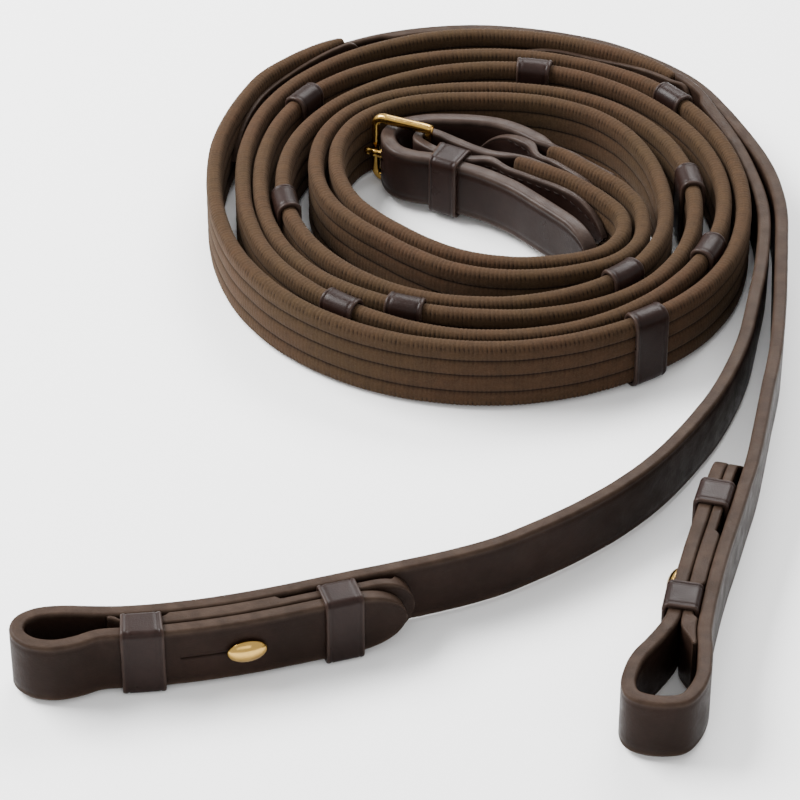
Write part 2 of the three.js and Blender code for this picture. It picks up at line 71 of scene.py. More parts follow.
# ---------------------------------------------------------------- routes in plan
class Route:
    """A smooth line in plan, known by the distance along it."""

    def __init__(self, points, step=0.3):
        corners = np.array(points, float)
        padded = np.vstack([2 * corners[0] - corners[1], corners, 2 * corners[-1] - corners[-2]])
        dense = []
        for i in range(len(corners) - 1):
            p0, p1, p2, p3 = padded[i:i + 4]
            d0, d1, d2 = (max(np.sum((b - a) ** 2) ** 0.25, 1e-4) for a, b in ((p0, p1), (p1, p2), (p2, p3)))
            t1 = ((p1 - p0) / d0 - (p2 - p0) / (d0 + d1) + (p2 - p1) / d1) * d1
            t2 = ((p2 - p1) / d1 - (p3 - p1) / (d1 + d2) + (p3 - p2) / d2) * d1
            count = max(2, int(np.linalg.norm(p2 - p1) / step))
            t = (np.arange(count) / count)[:, None]
            square = -3 * p1 + 3 * p2 - 2 * t1 - t2
            cube = 2 * p1 - 2 * p2 + t1 + t2
            dense.append(p1 + t1 * t + square * t ** 2 + cube * t ** 3)
        self.line = np.vstack(dense + [corners[-1:]])
        gaps = np.linalg.norm(np.diff(self.line, axis=0), axis=1)
        self.along = np.concatenate([[0], np.cumsum(gaps)])
        self.length = float(self.along[-1])

    def at(self, distance):
        """The place at that distance, straight on beyond either end."""
        d = np.asarray(distance, float)
        inside = np.clip(d, 0, self.length)
        place = np.stack([np.interp(inside, self.along, self.line[:, k]) for k in (0, 1)], -1)
        return place + self.heading(inside) * (d - inside)[..., None]

    def heading(self, distance):
        """The direction of the way there, taken over a short reach to either side."""
        reach = 1.2
        d = np.clip(np.asarray(distance, float), 0, self.length)
        a, b = np.clip(d - reach, 0, self.length), np.clip(d + reach, 0, self.length)
        pa, pb = (np.stack([np.interp(x, self.along, self.line[:, k]) for k in (0, 1)], -1) for x in (a, b))
        t = pb - pa
        return t / np.linalg.norm(t, axis=-1, keepdims=True)

    def beside(self, distance, offset=0.0):
        """The place at that distance, moved to the left of the way by offset."""
        t = self.heading(distance)
        left = np.stack([-t[..., 1], t[..., 0]], -1)
        return self.at(distance) + left * np.asarray(offset, float)[..., None]


def coil_points(radii, first_bearing):
    """A winding whose radii are given every 45 degrees, with more points put in between them."""
    per_table = 3
    table = np.array([[i, r] for i, r in enumerate(radii)], float)
    last = len(table) - 1
    points = []
    for step in range(last * per_table + 1):
        where = step / per_table
        i = int(math.floor(where + 1e-9))
        w = where - i
        p0, p1, p2, p3 = (table[min(max(k, 0), last)] for k in (i - 1, i, i + 1, i + 2))
        v0, v1 = (p2 - p0) * 0.5, (p3 - p1) * 0.5
        x, r = (2 * p1 - 2 * p2 + v0 + v1) * w ** 3 + (-3 * p1 + 3 * p2 - 2 * v0 - v1) * w ** 2 + v0 * w + p1
        bearing = math.radians(first_bearing + 45 * x)
        points.append([r * math.cos(bearing), r * math.sin(bearing)])
    return points


# The two halves. loop, strap and lead are points in plan, from the coil's centre, and radii are the coil's
# own, every 45 degrees. tail is how far the folded tail reaches back along the strap, and fold is the side
# that it lies on: 1 is left. stop_spacing is the gap between two hand stops. The other numbers are distances
# along the whole route, from the tail's tip.
LEFT = dict(
    name="left", fold=-1, tail=78,
    backing=116, loop_keeper=123.5, stud=145.5, tail_stud=38.5, runner=168, tip=186,
    web_start=434, web_end=1431, first_stop=667, stop_spacing=110.4,
    loop=[[-88.5, -177.8], [-93.2, -180], [-98.5, -181.3], [-103.6, -180.2], [-106.6, -176.9],
          [-106.3, -173.2], [-103, -170.6]],
    strap=[[-97.7, -169.6], [-90.9, -169.7], [-84.1, -169.7], [-77.4, -169.1], [-70.6, -168.1],
           [-61.7, -166.3], [-52.6, -163.9], [-43.6, -161.1], [-32.3, -157.5], [-20.9, -153.9],
           [-9.4, -150], [2.2, -145], [11.6, -139.2], [21.1, -132.4], [30.9, -124], [40.9, -113],
           [51.5, -96.8], [57.2, -86], [63.8, -68.5], [69.1, -45.2], [71.6, -32.1], [73.7, -11.8],
           [73, 0], [68.55, 22.2], [62.8, 36.2], [58.3, 45.6]],
    first_bearing=45,
    radii=[74.3, 74.2, 69.5, 62.1, 64.5, 67.4, 66.7, 63.5, 60, 56, 54, 51.6, 52, 53.4, 54.7, 47.5,
           45.7, 41.7, 44.3, 36.1, 30, 34.5, 43.7],
    lead=[[34.7, -26.5], [36.7, -21.4], [36.3, -14.4], [32.7, -8.4], [28.1, -3.1], [22.7, 1.7],
          [17.1, 5.5], [11.9, 9], [6.5, 12.2], [2.2, 14]],
)
RIGHT = dict(
    name="right", fold=1, tail=74,
    backing=124, loop_keeper=138.5, stud=151.5, tail_stud=34.5, runner=176.5, tip=194,
    web_start=469, web_end=1475, first_stop=705, stop_spacing=114.4,
    loop=[[38.3, -175.6], [35.4, -180], [32.3, -184.4], [30.4, -188.8], [29.3, -194],
          [30.2, -197.4], [33, -199.1], [37.5, -199.7], [41.5, -198.9], [44.1, -195.7], [46.1, -190.8]],
    strap=[[47, -183.5], [47.3, -176], [48.5, -169.3], [50.1, -161.8], [52, -154], [54, -146.5], [56.1, -139],
           [58.2, -131.5], [60.3, -124], [62.4, -116.5], [64.3, -108.5], [65.9, -100.5], [68.2, -88.9],
           [72, -70.6], [74.8, -49.5], [77, -27.6], [78.3, -9.5], [77.2, 5.4], [75.1, 14.6], [72.2, 23.5],
           [66.3, 38.3], [61.5, 48], [55.6, 55.6], [44.2, 65.5], [30.9, 72.9], [0, 79.3], [-29.6, 73.2]],
    first_bearing=135,
    radii=[77.9, 69.7, 71, 72.1, 73, 68.5, 66.4, 63.7, 62, 57.5, 59, 59.2, 61.4, 55.3, 51.7, 46.5,
           48.9, 42, 35.5, 40.5, 48.7],
    lead=[[39.5, -28.4], [41.5, -22.6], [41.9, -17.5], [41.2, -10.6], [38.8, -5.3], [36, -1.1],
          [31.3, 3.6], [27, 7.9], [21.7, 13.4], [18.2, 15.8], [14.5, 20.8],
          [9.9, 25], [5.4, 27.8], [-2.7, 30.2]],
)
BUCKLE_STRAP_TURN = [
    [-10.1, 32.4], [-17, 31.3], [-21.6, 28.9], [-23.9, 25.2], [-23.6, 20.8], [-21.4, 16.9], [-17.3, 14.6],
    [-12.2, 13.3], [-8.5, 11.3], [-4.8, 9.3], [0.8, 6.3], [5.5, 3], [10.2, -1.2], [15.2, -6.9], [20.8, -13.3],
    [24.3, -17.8], [27.5, -22.4], [29, -25],
]
CHAPE_FRONT = [[-2.9, 12.6], [-6.8, 14.7], [-11.4, 16.95]]
CHAPE_BACK = [[-5.9, 21.1], [-0.4, 17.1]]
HINGE = np.array([-13.2, 22.8])
BUCKLE_BEARING = math.radians(156.5)
BUCKLE_ALONG = np.array([math.cos(BUCKLE_BEARING), math.sin(BUCKLE_BEARING)])
BUCKLE_FRONT = np.array([-BUCKLE_ALONG[1], BUCKLE_ALONG[0]])
BUCKLE_REACH = 15.4

WEB_HALF = 2.1
WEB_BOTTOM, WEB_TOP = 1.2, 20.2
BIT_HALF = 1.7
BIT_BOTTOM, BIT_TOP = 1.2, 17.2
CENTRE_BOTTOM, CENTRE_TOP = 2.8, 17.9
CENTRE_MIDDLE = 10.35
TAIL_GAP = 7.4
LAP = WEB_HALF + 0.45 + 0.8
SLOT_HEIGHTS = (5.9, 9.1)
EASE = 0.12
LOOP_WALL = 1.0
CENTRE_PITCH = 2.8


def whole_route(half):
    """From the tail's tip round the loop, along the strap and into the middle of the coil."""
    main = Route(half["strap"])
    tail = [main.beside(d, half["fold"] * TAIL_GAP) for d in np.arange(half["tail"], 8, -7.0)]
    coil = coil_points(half["radii"], half["first_bearing"])
    return Route([*tail, *half["loop"], *half["strap"], *coil, *half["lead"]])


ROUTES = {half["name"]: whole_route(half) for half in (LEFT, RIGHT)}


# ---------------------------------------------------------------- meshes
def build_mesh(name, points, quads, caps, uv, attributes, material):
    """A smooth mesh, its faces outwards, from points in millimetres, in plan from the coil's centre."""
    co = np.asarray(points, float).reshape(-1, 3).copy()
    co[:, :2] += CENTRE
    co *= MM
    mesh = bpy.data.meshes.new(name)
    sizes = np.concatenate([np.full(len(quads), 4, np.int32), np.array([len(c) for c in caps], np.int32)])
    corners = np.concatenate([np.asarray(quads, np.int32).ravel(), *[np.asarray(c, np.int32) for c in caps]])
    starts = np.concatenate([[0], np.cumsum(sizes)[:-1]]).astype(np.int32)
    mesh.vertices.add(len(co))
    mesh.vertices.foreach_set("co", co.astype(np.float32).ravel())
    mesh.loops.add(len(corners))
    mesh.loops.foreach_set("vertex_index", corners.astype(np.int32))
    mesh.polygons.add(len(sizes))
    mesh.polygons.foreach_set("loop_start", starts)
    mesh.polygons.foreach_set("use_smooth", np.concatenate(
        [np.ones(len(quads), bool), np.zeros(len(caps), bool)]))
    mesh.update(calc_edges=True)
    layer = mesh.uv_layers.new(name="UVMap")
    places = np.asarray(uv, float).reshape(-1, 2)[corners] * UV_PER_MM
    layer.data.foreach_set("uv", places.astype(np.float32).ravel())
    for key, values in attributes.items():
        attribute = mesh.attributes.new(key, "FLOAT", "POINT")
        attribute.data.foreach_set("value", np.asarray(values, np.float32).ravel())
    work = bmesh.new()
    work.from_mesh(mesh)
    bmesh.ops.recalc_face_normals(work, faces=work.faces[:])
    if work.calc_volume(signed=True) < 0:
        bmesh.ops.reverse_faces(work, faces=work.faces[:])
    work.to_mesh(mesh)
    work.free()
    mesh.materials.append(material)
    obj = bpy.data.objects.new(name, mesh)
    bpy.context.scene.collection.objects.link(obj)
    return obj


def ring_quads(rows, columns, closed_rows=False, skip=None):
    """Quads of a grid whose columns close on themselves, and its rows too if asked."""
    i, j = np.meshgrid(np.arange(rows if closed_rows else rows - 1), np.arange(columns), indexing="ij")
    if skip is not None:
        keep = ~skip
        i, j = i[keep], j[keep]
    i, j = i.ravel(), j.ravel()
    i2, j2 = (i + 1) % rows, (j + 1) % columns
    return np.stack([i * columns + j, i2 * columns + j, i2 * columns + j2, i * columns + j2], 1)


def end_caps(rows, columns):
    """The faces that close the two ends of such a grid."""
    return [list(range(columns)), list(range((rows - 1) * columns, rows * columns))[::-1]]


def value(given, s):
    """A number or a function of the distance, at each distance."""
    return np.asarray(given(s) if callable(given) else np.full_like(s, float(given)), float)


def ramp(s, a, b, low, high):
    """A smooth change from low to high between the distances a and b."""
    t = np.clip((s - a) / (b - a), 0, 1)
    return low + (high - low) * t * t * (3 - 2 * t)


def slow_noise(s, seed, wave=40.0):
    """A gentle wander between -1 and 1."""
    turn = 6.28
    a, b, c = np.random.default_rng(seed).uniform(0, turn, 3)
    long = np.sin(s / wave * turn + a)
    medium = np.sin(s / wave * 11.3 + b)
    short = np.sin(s / wave * 23.9 + c)
    return (long + 0.6 * medium + 0.4 * short) / 2


def sweep(name, route, start, end, left, right, bottom, top, material, slot, *, radius=0.8, step=0.9,
          crease=1.5, crease_depth=0.13, tip_start=None, tip_end=None, holes=(), seed=1):
    """A flat strap on its edge with rounded edges, creases beside them, pointed ends and holes.

    A tip is its length and how blunt it is. A hole is two distances, then two heights above the lower edge.
    """
    wander, end_rows, crease_reach = 0.05, (0.08, 0.25, 0.5), 0.45
    height = float(np.max(value(top, np.array([start]))) - np.min(value(bottom, np.array([start]))))
    s = list(np.linspace(start, end, max(3, int((end - start) / step))))
    for at, tip in ((start, tip_start), (end, tip_end)):
        if tip:
            way = 1 if at == start else -1
            s += list(at + way * tip[0] * np.linspace(0, 1, 22) ** 2)
    s += [start + e for e in end_rows] + [end - e for e in end_rows]
    for h in holes:
        s += [h[0], h[1]]
    s = np.unique(np.round(np.array(s), 4))
    s = s[(s >= start) & (s <= end)]

    quarter = np.linspace(0, math.pi / 2, 5)
    rows = [(radius * (1 - math.sin(a)), radius * (1 - math.cos(a)), 1.0) for a in quarter]
    rows += [(0, crease - crease_reach, 0.4), (crease_depth, crease, 0.3), (0, crease + crease_reach, 0.0)]
    low = [(z, inset, e) for inset, z, e in rows]
    high = [(height - z, inset, e) for z, inset, e in low]
    inner = [(z, 0.0, 0.0) for z in np.linspace(crease + 1.6, height - crease - 1.6, 6)]
    for h in holes:
        inner += [(h[2], 0.0, 0.0), (h[3], 0.0, 0.0)]
    table = sorted(low + inner + high)
    kept = [table[0]]
    for row in table[1:]:
        if row[0] - kept[-1][0] > 1e-6:
            kept.append(row)
    z0, inset0, edge0 = (np.array(c) for c in zip(*kept))
    count = len(z0)

    left_face, right_face = value(left, s), value(right, s)
    low_z, high_z = value(bottom, s), value(top, s)
    middle = (low_z + high_z) / 2
    spread = np.ones_like(s)
    for at, tip in ((start, tip_start), (end, tip_end)):
        if tip:
            length, blunt = tip
            t = np.linspace(0, 1, 60)
            x = length * ((1 - t) ** 2 + 2 * blunt * t * (1 - t))
            share = 1 - t ** 2
            spread = np.minimum(spread, np.interp(np.abs(s - at), x[::-1], share[::-1]))
    spread = np.maximum(spread, 0.05)
    half_height = (high_z - low_z) / 2 * spread
    from_end = np.minimum(s - start, end - s)
    round_off = 0.45 * (1 - np.sqrt(np.clip(1 - (1 - np.clip(from_end / 0.5, 0, 1)) ** 2, 0, 1)))
    thick = left_face - right_face
    shrink = np.minimum(1, thick / (2 * radius))
    wave = wander * slow_noise(s, seed)

    fraction = z0 / height * 2 - 1
    z = middle[:, None] + fraction[None, :] * (half_height - round_off)[:, None]
    inset = inset0[None, :] * shrink[:, None] + np.minimum(round_off, thick * 0.4)[:, None]
    left_offset = left_face[:, None] - inset + wave[:, None]
    right_offset = right_face[:, None] + inset + wave[:, None]
    offset = np.concatenate([left_offset, right_offset[:, ::-1]], 1)
    zz = np.concatenate([z, z[:, ::-1]], 1)
    along = np.repeat(s[:, None], 2 * count, 1)
    plan = route.beside(along, offset)
    points = np.concatenate([plan, zz[..., None]], -1)

    skip = np.zeros((len(s) - 1, 2 * count), bool)
    walls = []
    columns = 2 * count
    for h0, h1, h2, h3 in holes:
        i0, i1 = np.argmin(abs(s - h0)), np.argmin(abs(s - h1))
        k0, k1 = np.argmin(abs(z0 - h2)), np.argmin(abs(z0 - h3))
        skip[i0:i1, k0:k1] = True
        skip[i0:i1, columns - 1 - k1:columns - 1 - k0] = True
        other = lambda k: columns - 1 - k
        for i in range(i0, i1):
            a, b = i * columns, (i + 1) * columns
            walls.append([a + k0, b + k0, b + other(k0), a + other(k0)])
            walls.append([a + k1, a + other(k1), b + other(k1), b + k1])
        for k in range(k0, k1):
            a, b = i0 * columns, i1 * columns
            walls.append([a + k, a + other(k), a + other(k + 1), a + k + 1])
            walls.append([b + k, b + k + 1, b + other(k + 1), b + other(k)])
    quads = ring_quads(len(s), columns, skip=skip)
    if walls:
        quads = np.vstack([quads, np.array(walls)])
    caps = end_caps(len(s), columns)
    v = np.concatenate([z0, height + 3 + z0[::-1]])
    uv = np.stack([along, np.repeat(v[None, :], len(s), 0)], -1)
    # edge is 1 on the rounded edges, 0.4 and 0.3 at the creases, and rises to 1 at the cut ends: the leather
    # material paints a highlight there.
    edge = np.repeat(np.concatenate([edge0, edge0[::-1]])[None, :], len(s), 0)
    edge = np.maximum(edge, (1 - np.clip(from_end / 0.6, 0, 1))[:, None])
    return build_mesh(name, points, quads, caps, uv, {"edge": edge}, material)


def band(name, route, middle, length, left, right, bottom, top, wall, material, slot, *, corner=0.7, rim=0.0):
    """A leather loop round a strap. left, right, bottom and top are its inner faces."""
    groove, spacing = 1.2, 1.2
    corner = min(corner, (left - right) / 2 - 0.01)
    ring = []
    centres = [(left - corner, top - corner, 0), (right + corner, top - corner, 90),
               (right + corner, bottom + corner, 180), (left - corner, bottom + corner, 270)]
    for n, z, turn in centres:
        for a in np.linspace(0, 90, 7):
            b = math.radians(turn + a)
            ring.append((n + corner * math.cos(b), z + corner * math.sin(b), math.cos(b), math.sin(b)))
    full = []
    for a, b in zip(ring, ring[1:] + ring[:1]):
        full.append(a)
        gap = math.hypot(b[0] - a[0], b[1] - a[1])
        between = int(gap / spacing)
        for k in range(1, between + 1):
            t = k / (between + 1)
            full.append(tuple(a[m] + (b[m] - a[m]) * t for m in range(4)))
    ring = np.array(full)

    half, bevel = length / 2, min(0.32, wall * 0.4)
    outer = [(-half, wall - bevel), (-half + bevel * 0.3, wall - bevel * 0.3), (-half + bevel, wall)]
    for x in (-half + 0.7, -half + groove - 0.3, -half + groove, -half + groove + 0.3):
        dip = 0.14 if x == -half + groove else 0.0
        outer.append((x, wall + (rim if x < -half + 0.8 else 0) - dip))
    outer += [(x, wall) for x in np.linspace(-half + groove + 0.9, 0, 4)]
    outer += [(-x, w) for x, w in outer[::-1][1:]]
    eased = bevel * 0.6
    inner = [(half, eased), (half - eased, 0), (0, 0), (-half + eased, 0), (-half, eased)]
    section = np.array(outer + inner)

    a, w = section[:, 0], section[:, 1]
    puff = 0.05 * np.cos(np.linspace(0, 6 * math.pi, len(ring)))
    offset = ring[:, 0][:, None] + ring[:, 2][:, None] * w[None, :]
    z = ring[:, 1][:, None] + ring[:, 3][:, None] * (w[None, :] + puff[:, None] * (w[None, :] > 0.2))
    along = np.repeat(middle + a[None, :], len(ring), 0)
    plan = route.beside(along, offset)
    points = np.concatenate([plan, z[..., None]], -1)
    quads = ring_quads(len(ring), len(section), closed_rows=True)
    around = np.arange(len(ring)) * spacing
    uv = np.stack([np.repeat(around[:, None], len(section), 1), along * 0 + a[None, :]], -1)
    # edge is 1 along the loop's two rims, where the leather material paints a highlight.
    edge = np.repeat((np.abs(a) > half - 0.4).astype(float)[None, :], len(ring), 0)
    return build_mesh(name, points, quads, [], uv, {"edge": edge}, material)


def tube(name, centre, axis_a, axis_b, size_a, size_b, material, sides=20, power=1.0):
    """A bar along a line. At each place axis_a and axis_b span its section, with those half sizes."""
    centre = np.asarray(centre, float)
    turn = np.linspace(0, 2 * math.pi, sides, endpoint=False)
    ca = np.sign(np.cos(turn)) * np.abs(np.cos(turn)) ** power
    sa = np.sign(np.sin(turn)) * np.abs(np.sin(turn)) ** power
    size_a = np.broadcast_to(np.asarray(size_a, float), (len(centre),))
    size_b = np.broadcast_to(np.asarray(size_b, float), (len(centre),))
    points = (centre[:, None, :]
              + axis_a[:, None, :] * (size_a[:, None] * ca[None, :])[..., None]
              + axis_b[:, None, :] * (size_b[:, None] * sa[None, :])[..., None])
    uv = np.stack(np.meshgrid(np.arange(len(centre)), np.arange(sides), indexing="ij"), -1).astype(float)
    return build_mesh(name, points, ring_quads(len(centre), sides), end_caps(len(centre), sides), uv,
                      {"edge": np.zeros((len(centre), sides))}, material)


def join(objects, name):
    bpy.ops.object.select_all(action="DESELECT")
    for o in objects:
        o.select_set(True)
    bpy.context.view_layer.objects.active = objects[0]
    bpy.ops.object.join()
    objects[0].name = name
    return objects[0]


def stitches(name, route, start, end, offset, side, height, pitch=3.0):
    """A row of thread stitches lying on a strap's face. side is the way that the face looks: 1 is left."""
    length, thick, slant, sides = 2.0, 0.17, 0.12, 8
    middles = np.arange(start + pitch / 2, end - pitch / 4, pitch)
    turn = np.linspace(0, 2 * math.pi, sides, endpoint=False)
    t = np.linspace(-1, 1, 7)
    shape = np.sqrt(np.clip(1 - np.abs(t) ** 4, 0, 1))
    shape[0] = shape[-1] = 0.25
    points, quads, caps, base = [], [], [], 0
    for s0 in middles:
        s = s0 + t * length / 2
        lift = np.cos(t * math.pi / 2) * 0.16 - 0.04
        off = value(offset, s) + side * lift
        hz = value(height, s) + t * slant
        for k in range(len(t)):
            o = off[k] + thick * shape[k] * np.cos(turn)
            z = hz[k] + thick * shape[k] * np.sin(turn)
            plan = route.beside(np.full(sides, s[k]), o)
            points.append(np.concatenate([plan, z[:, None]], 1))
        quads.append(ring_quads(len(t), sides) + base)
        caps += [[base + k for k in cap] for cap in end_caps(len(t), sides)]
        base += sides * len(t)
    points = np.vstack(points)
    return build_mesh(name, points, np.vstack(quads), caps, points[:, :2], {"edge": np.zeros(len(points))},
                      THREAD)


def row_height(sign, middle, reach, from_tip, over, least=0.08):
    """The height of the upper or lower of two stitch rows, which close in over a pointed end."""
    return middle + sign * reach * np.clip(from_tip / over, least, 1) ** 0.6


# ---------------------------------------------------------------- materials
def new_material(name):
    material = bpy.data.materials.new(name)
    material.use_nodes = True
    nodes, links = material.node_tree.nodes, material.node_tree.links
    return material, nodes, links, nodes["Principled BSDF"]


def put(node, **values):
    for key, given in values.items():
        node.inputs[key.replace("_", " ")].default_value = given


def mix_colours(nodes, links, factor, a, b):
    mix = nodes.new("ShaderNodeMix")
    mix.data_type = "RGBA"
    links.new(factor, mix.inputs["Factor"])
    for socket, colour in ((mix.inputs[6], a), (mix.inputs[7], b)):
        if isinstance(colour, tuple):
            socket.default_value = (*colour, 1)
        else:
            links.new(colour, socket)
    return mix.outputs[2]


def spread_value(nodes, links, source, low, high, to_low, to_high):
    node = nodes.new("ShaderNodeMapRange")
    links.new(source, node.inputs["Value"])
    put(node, From_Min=low, From_Max=high, To_Min=to_low, To_Max=to_high)
    return node.outputs["Result"]


def noise(nodes, links, vector, scale, detail=3.0, rough=0.55):
    node = nodes.new("ShaderNodeTexNoise")
    links.new(vector, node.inputs["Vector"])
    put(node, Scale=scale, Detail=detail, Roughness=rough)
    return node.outputs["Fac"]


def leather(name, dark, light, edge_highlight_colour, gloss, shine, coat=0.0, grain=1.0):
    material, nodes, links, shader = new_material(name)
    where = nodes.new("ShaderNodeTexCoord").outputs["Object"]
    edge = nodes.new("ShaderNodeAttribute")
    edge.attribute_name = "edge"
    blotch = spread_value(nodes, links, noise(nodes, links, where, 70, 4), 0.35, 0.68, 0, 1)
    fine = noise(nodes, links, where, 900, 5)
    pores = nodes.new("ShaderNodeTexVoronoi")
    pores.feature = "DISTANCE_TO_EDGE"
    links.new(where, pores.inputs["Vector"])
    put(pores, Scale=1500, Randomness=1.0)
    cells = spread_value(nodes, links, pores.outputs["Distance"], 0.0, 0.16, 0, 1)
    colour = mix_colours(nodes, links, blotch, dark, light)
    speck = spread_value(nodes, links, fine, 0.3, 0.75, 0, 0.35)
    colour = mix_colours(nodes, links, speck, colour, tuple(c * 0.6 for c in dark))
    # Painted highlight: the colour is lightened in patches towards the edge colour on the rounded edges, the
    # creases and the cut ends.
    edge_highlight_mask = nodes.new("ShaderNodeMath")
    edge_highlight_mask.operation = "MULTIPLY"
    links.new(edge.outputs["Fac"], edge_highlight_mask.inputs[0])
    patches = spread_value(nodes, links, noise(nodes, links, where, 260, 4), 0.4, 0.7, 0.35, 0.7)
    links.new(patches, edge_highlight_mask.inputs[1])
    colour = mix_colours(nodes, links, edge_highlight_mask.outputs[0], colour, edge_highlight_colour)
    links.new(colour, shader.inputs["Base Color"])
    handling = noise(nodes, links, where, 240, 5)
    rough = spread_value(nodes, links, handling, 0.3, 0.7, gloss - 0.07, gloss + 0.1)
    links.new(rough, shader.inputs["Roughness"])
    put(shader, Coat_Weight=coat, Coat_Roughness=0.22, Specular_IOR_Level=shine)
    bump_fine = nodes.new("ShaderNodeBump")
    put(bump_fine, Strength=0.35 * grain, Distance=0.00012)
    links.new(fine, bump_fine.inputs["Height"])
    bump_cells = nodes.new("ShaderNodeBump")
    put(bump_cells, Strength=0.28 * grain, Distance=0.00008)
    links.new(cells, bump_cells.inputs["Height"])
    links.new(bump_fine.outputs["Normal"], bump_cells.inputs["Normal"])
    links.new(bump_cells.outputs["Normal"], shader.inputs["Normal"])
    return material


def cotton():
    material, nodes, links, shader = new_material("cotton_web")
    where = nodes.new("ShaderNodeTexCoord").outputs["Object"]
    depth = nodes.new("ShaderNodeAttribute")
    depth.attribute_name = "depth"
    wide = spread_value(nodes, links, noise(nodes, links, where, 28, 3), 0.36, 0.66, 0, 1)
    narrow = spread_value(nodes, links, noise(nodes, links, where, 420, 5, 0.65), 0.32, 0.7, 0, 1)
    colour = mix_colours(nodes, links, wide, (0.033, 0.0188, 0.0078), (0.0375, 0.0182, 0.0088))
    mottle = spread_value(nodes, links, narrow, 0, 1, 0, 0.55)
    colour = mix_colours(nodes, links, mottle, colour, (0.0165, 0.0095, 0.0053))
    fuzz = spread_value(nodes, links, noise(nodes, links, where, 2400, 3, 0.7), 0.42, 0.8, 0, 0.4)
    colour = mix_colours(nodes, links, fuzz, colour, (0.066, 0.043, 0.026))
    shade = spread_value(nodes, links, depth.outputs["Fac"], 0.2, 0.9, 0, 0.92)
    colour = mix_colours(nodes, links, shade, colour, (0.0045, 0.0024, 0.0016))
    links.new(colour, shader.inputs["Base Color"])
    put(shader, Roughness=0.88, Sheen_Weight=0.06, Sheen_Roughness=0.45, Specular_IOR_Level=0.1)
    shader.inputs["Sheen Tint"].default_value = (0.6, 0.42, 0.3, 1)
    bump = nodes.new("ShaderNodeBump")
    put(bump, Strength=0.6, Distance=0.00018)
    links.new(noise(nodes, links, where, 1900, 5, 0.7), bump.inputs["Height"])
    links.new(bump.outputs["Normal"], shader.inputs["Normal"])
    return material


def brass():
    material, nodes, links, shader = new_material("polished_brass")
    where = nodes.new("ShaderNodeTexCoord").outputs["Object"]
    tarnish = spread_value(nodes, links, noise(nodes, links, where, 320, 5), 0.5, 0.78, 0, 0.6)
    colour = mix_colours(nodes, links, tarnish, (0.46, 0.285, 0.075), (0.25, 0.135, 0.035))
    links.new(colour, shader.inputs["Base Color"])
    links.new(spread_value(nodes, links, noise(nodes, links, where, 500, 4), 0.3, 0.7, 0.12, 0.26),
              shader.inputs["Roughness"])
    put(shader, Metallic=1.0)
    bump = nodes.new("ShaderNodeBump")
    put(bump, Strength=0.2, Distance=0.00006)
    links.new(noise(nodes, links, where, 900, 3), bump.inputs["Height"])
    links.new(bump.outputs["Normal"], shader.inputs["Normal"])
    return material


def thread():
    material, nodes, links, shader = new_material("stitch_thread")
    where = nodes.new("ShaderNodeTexCoord").outputs["Object"]
    fibres = noise(nodes, links, where, 1200, 3)
    colour = mix_colours(nodes, links, fibres, (0.007, 0.0045, 0.0035), (0.014, 0.009, 0.007))
    links.new(colour, shader.inputs["Base Color"])
    put(shader, Roughness=0.7, Specular_IOR_Level=0.08)
    return material


# The edge colour of each leather is a painted highlight on its rounded edges, creases and cut ends.
BRIDLE = leather("bridle_leather", dark=(0.0105, 0.0056, 0.0038), light=(0.0175, 0.0094, 0.0068),
                 edge_highlight_colour=(0.046, 0.03, 0.021), gloss=0.42, shine=0.05)
BURNISHED = leather("burnished_leather", dark=(0.0105, 0.0051, 0.004), light=(0.0165, 0.0083, 0.0066),
                    edge_highlight_colour=(0.04, 0.025, 0.019), gloss=0.34, shine=0.09, coat=0.02, grain=0.6)
GLAZED = leather("glazed_leather", dark=(0.0105, 0.0053, 0.0042), light=(0.0165, 0.0088, 0.007),
                 edge_highlight_colour=(0.05, 0.035, 0.028), gloss=0.34, shine=0.07, coat=0.02, grain=0.6)
WEB = cotton()
BRASS = brass()
THREAD = thread()


